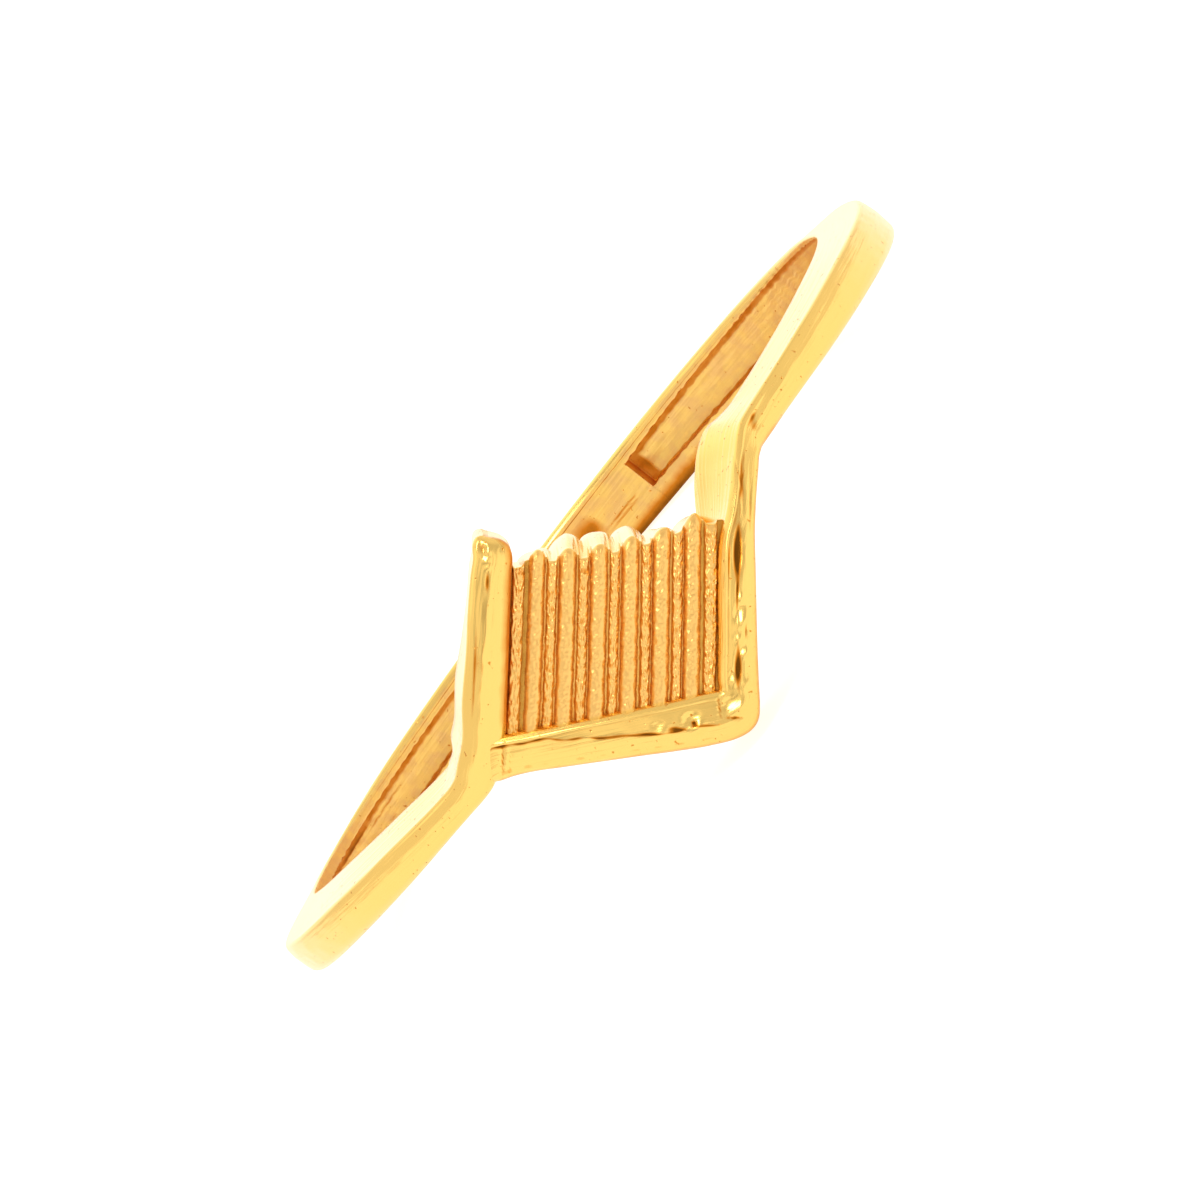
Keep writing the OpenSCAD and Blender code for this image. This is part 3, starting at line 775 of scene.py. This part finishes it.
def makePanel():
    # Each column is a loop: up the ribs' face, over the rounded top edge, down the end wall and
    # back along the finger side. Columns run from the left bar to the right bar.
    tall, tuck = panel["edges"][3], panel["tuck"]
    lowLeft, lowRight, highLeft, highRight = panelCorners()
    panelWide = float(np.linalg.norm(lowRight - lowLeft))
    f = np.linspace(0, 1, panel["across"])[:, None]
    low = lowLeft + (lowRight - lowLeft) * f
    upward = (highLeft + (highRight - highLeft) * f - low) / tall
    reach, scallop = ribLine(f * panelWide, panelWide)[1:3]
    line = np.interp(f, topLine[:, 0], topLine[:, 1])
    lean = np.interp(f, topLine[:, 0], topLine[:, 2])
    tallHere = tall + reach + line

    share = np.concatenate([[-0.04], np.linspace(0, 1, panel["up"])])
    high, dark = ribFaces(f * panelWide + 0 * share, share * tall + 0 * f, panelWide)
    edgeHigh = high[:, -1:]
    soft = panel["topSoft"] + panel["topSofter"] * edgeHigh
    bend = np.radians(np.linspace(0, 90, panel["topRows"] + 1))[1:]
    wall = np.linspace(0, 1, panel["wallRows"] + 1)[1:]
    back = np.linspace(0, 1, panel["backRows"] + 1)[1:]
    thick = panel["plate"] + edgeHigh
    backReach = scallop - reach + lean
    faceRise = share * (tallHere - soft)
    backRise = (tallHere + backReach) * (1 - back) - tuck * back
    rise = np.hstack([faceRise, tallHere - soft * (1 - np.sin(bend)),
                      tallHere + backReach * np.sin(wall * np.pi / 2), backRise])
    fall = np.hstack([0 * faceRise, soft * (1 - np.cos(bend)),
                      soft + (thick - soft - panel["clear"]) * wall, thick - panel["clear"] + 0 * backRise])
    more = rise.shape[1] - high.shape[1]
    highAll = np.hstack([high, np.repeat(edgeHigh, more, axis=1)])
    dark = np.hstack([dark, np.repeat(dark[:, -1:], more, axis=1)])

    flat = low[:, None, :] + upward[:, None, :] * rise[..., None]
    x, z = flat[..., 0], flat[..., 1]
    crown = bar["fingerR"] + panel["plate"] + highAll - np.interp(x, headFall[:, 0], headFall[:, 1])
    least = bar["fingerR"] + panel["clear"]
    radius = np.maximum(crown - fall, least)
    radius[:, -backRise.shape[1]:] = least
    points = np.stack([x, -np.sqrt(np.maximum(radius ** 2 - x ** 2, 0)), z], axis=-1)

    # painted shade darkens the grooves and the panel's foot along the foot bar
    groove = dark * np.clip(1 - highAll / panel["darkHigh"], 0, 1)
    groove[:, faceRise.shape[1] + 3:] = 0
    foot = np.clip(1 - rise / panel["darkRise"], 0, 1) * (rise < 0.5)
    groove = np.maximum(groove, panel["darkFoot"] * foot)
    uv = np.stack([rise, f * panelWide + 0 * rise], axis=-1)
    count, around = rise.shape
    faces = tubeFaces(count, around, True)
    piece = putMesh("rib_panel", points.reshape(-1, 3), faces, uv.reshape(-1, 2),
                    {"recess": groove.ravel(), "inner": 0 * groove.ravel()})
    polished = np.zeros(len(faces), dtype=np.int32)  # the end wall and finger side are polished
    polished[:(count - 1) * around] = np.tile(np.arange(around) >= faceRise.shape[1] + 4, count - 1)
    piece.data.polygons.foreach_set("material_index", polished)
    print("rib panel:", count, "columns of", around, "points")
    return piece


bentBar = makeBar()
ribPanel = makePanel()


def feed(tree, made, values):
    # Inputs by name or number: a plain value goes on the socket, and anything else is linked to it
    for key, value in values.items():
        if isinstance(value, (float, tuple)):
            made.inputs[key].default_value = value
        else:
            tree.links.new(value, made.inputs[key])
    return made


def node(tree, kind, values=None, **settings):
    # A shader node with its settings and inputs
    made = tree.nodes.new(kind)
    for key, value in settings.items():
        setattr(made, key, value)
    return feed(tree, made, values or {})


def mathOf(tree, operation, *values):
    # One Math node on sockets or plain numbers
    return node(tree, "ShaderNodeMath", dict(enumerate(values)), operation=operation).outputs[0]


def vectorMath(tree, operation, first, second):
    # One Vector Math node on two vectors, or on a vector and its scale
    other = "Scale" if operation == "SCALE" else 1
    made = node(tree, "ShaderNodeVectorMath", {0: first, other: second}, operation=operation)
    return made.outputs["Value" if operation == "DOT_PRODUCT" else "Vector"]


def mapped(tree, value, start, stop, low=0.0, high=1.0, kind="LINEAR"):
    # low + (high - low) * (value - start) / (stop - start), held between low and high
    names = ("Value", "From Min", "From Max", "To Min", "To Max")
    values = dict(zip(names, (value, start, stop, low, high)))
    return node(tree, "ShaderNodeMapRange", values, interpolation_type=kind).outputs["Result"]


def mixed(tree, share, a, b):
    # a + (b - a) * share, as colours
    values = {"Factor": share, "A": a, "B": b}
    return node(tree, "ShaderNodeMix", values, data_type="RGBA").outputs["Result"]


def noiseOf(tree, vector, scale, detail):
    # Soft noise from 0 to 1 with so many bumps per unit
    values = {"Vector": vector, "Scale": scale, "Detail": detail}
    return node(tree, "ShaderNodeTexNoise", values).outputs["Fac"]


# The hand finish, shared by both golds
finish = {
    "streaks": (0.5, 11.0, 1.0),  # streaks per millimetre along the bar and across it
    "grain": 14000.0,  # bumps per metre
    "pits": 13000.0,
    "pitsFrom": 0.22,  # noise below which a pit begins, and is full
    "pitsFull": 0.16,
    "patches": 2600.0,
    "patchShare": 0.5,  # how far the patches move the border of the painted shade and residue
    "wornFrom": 0.40,  # patches above which the inside is worn, and how much at most
    "wornFull": 0.62,
    "wornMost": 0.6,
    "darkFull": 0.5,  # mark of painted shade and residue that hides the gold, and where it turns brown
    "brownFrom": 0.45,
    "darkRough": 0.55,  # roughness where that mark is full, and how much rougher the inside is
    "insideRough": 0.16,
}


def makeFinishGroup():
    # Hand finish as one height and two masks: filing streaks along the piece, fine grain, small pits,
    # and patches of worn colour. The height is streaks + grain - pits.
    group = bpy.data.node_groups.new("handFinish", "ShaderNodeTree")
    for name, start in (("Streaks", 0.5), ("Grain", 0.3), ("Pits", 0.5)):
        made = group.interface.new_socket(name, in_out="INPUT", socket_type="NodeSocketFloat")
        made.default_value = start
    for name in ("Height", "Spots", "Patches"):
        group.interface.new_socket(name, in_out="OUTPUT", socket_type="NodeSocketFloat")
    source = node(group, "NodeGroupInput")
    place = node(group, "ShaderNodeTexCoord").outputs["Object"]
    run = node(group, "ShaderNodeUVMap", uv_map="run").outputs["UV"]
    streaks = noiseOf(group, vectorMath(group, "MULTIPLY", run, finish["streaks"]), 1.0, 2.0)
    streaks = mathOf(group, "MULTIPLY", streaks, source.outputs["Streaks"])
    grain = mathOf(group, "MULTIPLY", noiseOf(group, place, finish["grain"], 2.0), source.outputs["Grain"])
    pits = mapped(group, noiseOf(group, place, finish["pits"], 0.0), finish["pitsFrom"], finish["pitsFull"])
    spots = mathOf(group, "MULTIPLY", pits, source.outputs["Pits"])
    node(group, "NodeGroupOutput", {
        "Height": mathOf(group, "SUBTRACT", mathOf(group, "ADD", streaks, grain), spots),
        "Spots": spots,
        "Patches": noiseOf(group, place, finish["patches"], 3.0),
    })
    return group


finishGroup = makeFinishGroup()


def goldMaterial(name, look):
    # Gold whose colour goes through orange to brown where the mark lies, which is painted shade and a
    # painted reflection mixed with residue, worn in patches on the finger side
    material = bpy.data.materials.new(name)
    material.use_nodes = True
    tree = material.node_tree
    mark = node(tree, "ShaderNodeAttribute", attribute_name="recess").outputs["Fac"]
    inner = node(tree, "ShaderNodeAttribute", attribute_name="inner").outputs["Fac"]
    shares = {key: look[key] for key in ("Streaks", "Grain", "Pits")}
    hand = node(tree, "ShaderNodeGroup", node_tree=finishGroup)
    patches = feed(tree, hand, shares).outputs["Patches"]

    # painted shade and residue with an uneven border: the mark plus or minus the patches, then stepped;
    # pits hold dirt too
    middle = 0.5 * finish["patchShare"]
    patchy = mathOf(tree, "MULTIPLY_ADD", patches, finish["patchShare"], mark)
    shadeAndResidue = mapped(tree, patchy, look["from"] + middle, look["to"] + middle)
    shadeResidueAndPits = mathOf(tree, "MAXIMUM", shadeAndResidue, hand.outputs["Spots"])

    worn = mapped(tree, patches, finish["wornFrom"], finish["wornFull"], 0.0, finish["wornMost"])
    clean = mixed(tree, mathOf(tree, "MULTIPLY", worn, inner), look["gold"], look["worn"])
    darkColour = node(tree, "ShaderNodeValToRGB", {"Fac": shadeResidueAndPits})
    ramp = darkColour.color_ramp.elements
    ramp[0].color = look["orange"]
    ramp[1].color = look["brown"]
    ramp[0].position = finish["brownFrom"]
    hidden = mapped(tree, shadeResidueAndPits, 0.0, finish["darkFull"])
    dull = mapped(tree, shadeResidueAndPits, 0.0, 1.0, look["rough"], finish["darkRough"])
    bump = {"Strength": 1.0, "Distance": look["depth"], "Height": hand.outputs["Height"]}
    feed(tree, tree.nodes["Principled BSDF"], {
        "Metallic": 1.0,
        "Base Color": mixed(tree, hidden, clean, darkColour.outputs["Color"]),
        "Roughness": mathOf(tree, "MULTIPLY_ADD", inner, finish["insideRough"], dull),
        "Normal": node(tree, "ShaderNodeBump", bump).outputs["Normal"],
    })
    return material


# Colours, roughness, marks of painted shade and residue from which the darkening begins and is full, shares
# of the finish, and the height of its bumps in metres
barGold = goldMaterial("polished_gold", {
    "gold": (0.92, 0.60, 0.165, 1), "worn": (0.80, 0.47, 0.18, 1),
    "orange": (0.66, 0.22, 0.015, 1), "brown": (0.17, 0.06, 0.005, 1),
    "rough": 0.23, "from": 0.35, "to": 1.7, "Streaks": 1.1, "Grain": 0.05, "Pits": 0.4, "depth": 1.2e-5,
})
ribGold = goldMaterial("satin_gold", {
    "gold": (0.90, 0.535, 0.16, 1), "worn": (0.90, 0.535, 0.16, 1),
    "orange": (0.80, 0.47, 0.10, 1), "brown": (0.46, 0.21, 0.03, 1),
    "rough": 0.38, "from": 0.35, "to": 1.5, "Streaks": 1.0, "Grain": 1.1, "Pits": 0.2, "depth": 1.2e-5,
})
bentBar.data.materials.append(barGold)
ribPanel.data.materials.append(ribGold)
ribPanel.data.materials.append(barGold)
print("golds ready")
for piece, angle in ((bentBar, 34), (ribPanel, 50)):
    piece.data.set_sharp_from_angle(angle=math.radians(angle))
    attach(piece, "root")
    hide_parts("ring")

studio = {
    "floor": 0.9,  # half width of the floor in metres
    "floorLook": {  # a pale table that glows a little
        "Base Color": (0.40, 0.398, 0.394, 1), "Roughness": 0.9, "Specular IOR Level": 0.1,
        "Emission Color": (0.79, 0.784, 0.772, 1), "Emission Strength": 1.0,
    },
    "base": (0.88, 0.85, 0.80),  # light from all round
}
white, pale, warm = (1.0, 1.0, 1.0), (1.0, 1.0, 0.98), (1.0, 0.99, 0.96)
# Azimuth and elevation in the ring's own frame, angles at which it is full and has faded out, strength
# and colour. The darker parts of the room are below 0.
glows = (
    (180, 23, 12, 50, 0.62, warm),  # soft light behind and above
    (180, 74, 8, 28, 0.50, (1.0, 0.99, 0.97)),
    (-90, 52, 5, 20, 0.50, warm),
    (-95, 15, 20, 42, 0.12, warm),
    (95, 15, 20, 42, 0.12, warm),
    (0, 54, 8, 13, 8.0, pale),  # small lamp
    (-46, 30, 10, 22, 0.22, white),
    (0, 5, 2, 10, -0.12, white),
    (-36, 8, 6, 15, -0.32, white),
    (-42, 56, 6, 16, -0.30, white),
    (12, 24, 6, 16, 0.06, white),
    (38, 22, 10, 36, -0.14, white),
    (180, 26, 8, 26, 0.40, (0.1, 0.15, 1.0)),  # cooler light behind, for the pale walls
    (-10, 14, 6, 13, 0.26, pale),  # two soft strips before the foot bar
    (-10, 32, 6, 13, 0.26, pale),
)


def makeFloor():
    # A square round the ring's resting place
    side = studio["floor"]
    corners = [(-side, -side, 0), (side, -side, 0), (side, side, 0), (-side, side, 0)]
    mesh = bpy.data.meshes.new("floor")
    mesh.from_pydata(corners, [], [(0, 1, 2, 3)])
    material = bpy.data.materials.new("pale_floor")
    material.use_nodes = True
    feed(material.node_tree, material.node_tree.nodes["Principled BSDF"], studio["floorLook"])
    mesh.materials.append(material)
    return linked("floor", mesh)


def makeRoomLight():
    # The room's light: the base plus each glow, which fades with the cosine of the angle from its middle
    world = bpy.data.worlds.new("studio")
    bpy.context.scene.world = world
    world.use_nodes = True
    sky = world.node_tree
    sky.nodes.clear()
    direction = node(sky, "ShaderNodeTexCoord").outputs["Generated"]
    total = studio["base"]
    for azimuth, elevation, full, faded, strength, colour in glows:
        a, e = math.radians(azimuth), math.radians(elevation)
        aim = restTurn @ np.array((math.sin(a) * math.cos(e), -math.cos(a) * math.cos(e), math.sin(e)))
        dot = vectorMath(sky, "DOT_PRODUCT", direction, tuple(aim.tolist()))
        start, stop = math.cos(math.radians(faded)), math.cos(math.radians(full))
        bright = mapped(sky, dot, start, stop, 0.0, strength, "SMOOTHSTEP")
        total = vectorMath(sky, "ADD", vectorMath(sky, "SCALE", colour, bright), total)
    light = node(sky, "ShaderNodeBackground", {"Color": total})
    node(sky, "ShaderNodeOutputWorld", {"Surface": light.outputs["Background"]})


# The camera stands off the ring's front at the photograph's angle, and is rolled as it was held
lens = {
    "elevation": 4.6,
    "roll": 52.0,
    "distance": 150.0,  # mm
    "wide": 25.21,  # mm across the frame at the ring
    "sensor": 36,  # mm
    "shift": (10 / 47.6, -15 / 47.6),  # pixels of the photograph by its pixels to the mm
    "near": 0.005,  # metres
    "far": 5,
}


def makeCamera():
    # Its place is the ring's middle plus the distance along its own Z, and the shift along its X and Y
    up, roll = math.radians(lens["elevation"]), math.radians(lens["roll"])
    toward = np.array([0, -math.cos(up), math.sin(up)])
    rightward = np.array([1.0, 0, 0])
    upward = np.array([0, math.sin(up), math.cos(up)])
    camX = restTurn @ (math.cos(roll) * rightward - math.sin(roll) * upward)
    camY = restTurn @ (math.sin(roll) * rightward + math.cos(roll) * upward)
    camZ = restTurn @ toward
    shift = lens["shift"][0] * camX + lens["shift"][1] * camY
    spot = (np.array(rest["middle"]) + lens["distance"] * camZ + shift) * mm
    data = bpy.data.cameras.new("camera")
    data.sensor_width = lens["sensor"]
    data.lens = lens["sensor"] * lens["distance"] / lens["wide"]
    data.clip_start = lens["near"]
    data.clip_end = lens["far"]
    made = linked("camera", data)
    placed = np.eye(4)
    placed[:3] = np.column_stack([camX, camY, camZ, spot])
    made.matrix_world = Matrix(placed.tolist())
    return made


makeFloor()
makeRoomLight()
bpy.context.scene.camera = makeCamera()
bpy.context.scene.view_settings.view_transform = "Standard"
print("studio ready")
